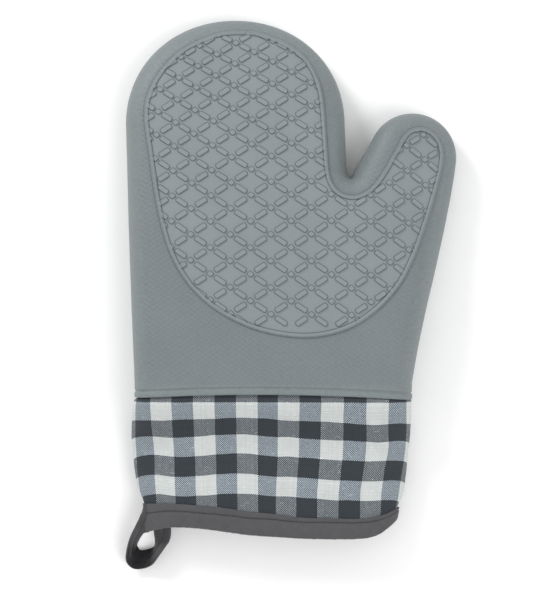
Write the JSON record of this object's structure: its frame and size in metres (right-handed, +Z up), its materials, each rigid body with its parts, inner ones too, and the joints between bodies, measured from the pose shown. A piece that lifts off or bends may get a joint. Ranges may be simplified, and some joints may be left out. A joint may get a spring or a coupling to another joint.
{
  "type": "oven mitt",
  "caption": "Oven mitt with a grippy moulded silicone shell, a thumb, a quilted cotton liner, a checked woven cuff with bound mouth and a hanging loop.",
  "frame": {"origin": "on the table under the middle of the silicone shell's hem, with the mitt lying on its back and its grip side up", "axes": "+Y from the hem to the fingertips, +X to the thumb side, +Z up out of the table"},
  "size_m": [0.2037, 0.3309, 0.0379],
  "materials": {
    "silicone": "matt moulded silicone",
    "wadding": "soft needled wadding",
    "lining_cotton": "plain woven cotton",
    "gingham": "plain woven check, dark grey and white",
    "binding_tape": "folded bias tape, plain weave",
    "dark_thread": "polyester sewing thread",
    "grey_thread": "polyester sewing thread",
    "white_thread": "polyester sewing thread"
  },
  "bodies": {
    "palm": {"silicone_shell": "silicone", "palm_side_wadding": "wadding", "back_side_wadding": "wadding", "palm_side_lining": "lining_cotton", "back_side_lining": "lining_cotton", "hem_stitching": "grey_thread"},
    "thumb": {"silicone_thumb": "silicone", "thumb_palm_wadding": "wadding", "thumb_back_wadding": "wadding", "thumb_palm_lining": "lining_cotton", "thumb_back_lining": "lining_cotton"},
    "cuff": {"cuff_front_cloth": "gingham", "cuff_back_cloth": "gingham", "cuff_front_lining": "lining_cotton", "cuff_back_lining": "lining_cotton", "cuff_side_seams": "white_thread", "edge_binding": "binding_tape", "binding_stitching": "dark_thread", "loop_bar_tack": "dark_thread"},
    "loop": {"hanging_loop": "binding_tape"}
  },
  "joints": [
    {"name": "thumb_fold", "type": "hinge", "parent": "palm", "child": "thumb", "pos_m": [0.05102, 0.12614, 0.024], "axis": [0.3007, -0.9537, 0], "range_deg": [0, 45], "stiffness_Nm_per_rad": 0.4},
    {"name": "cuff_bend", "type": "hinge", "parent": "palm", "child": "cuff", "pos_m": [0, 0, 0.0186], "axis": [-1, 0, 0], "range_deg": [-20, 30], "stiffness_Nm_per_rad": 0.5},
    {"name": "loop_swing", "type": "hinge", "parent": "cuff", "child": "loop", "pos_m": [-0.07011, -0.07455, 0.006], "axis": [-0.9586, 0.2847, 0], "range_deg": [-60, 60]}
  ]
}
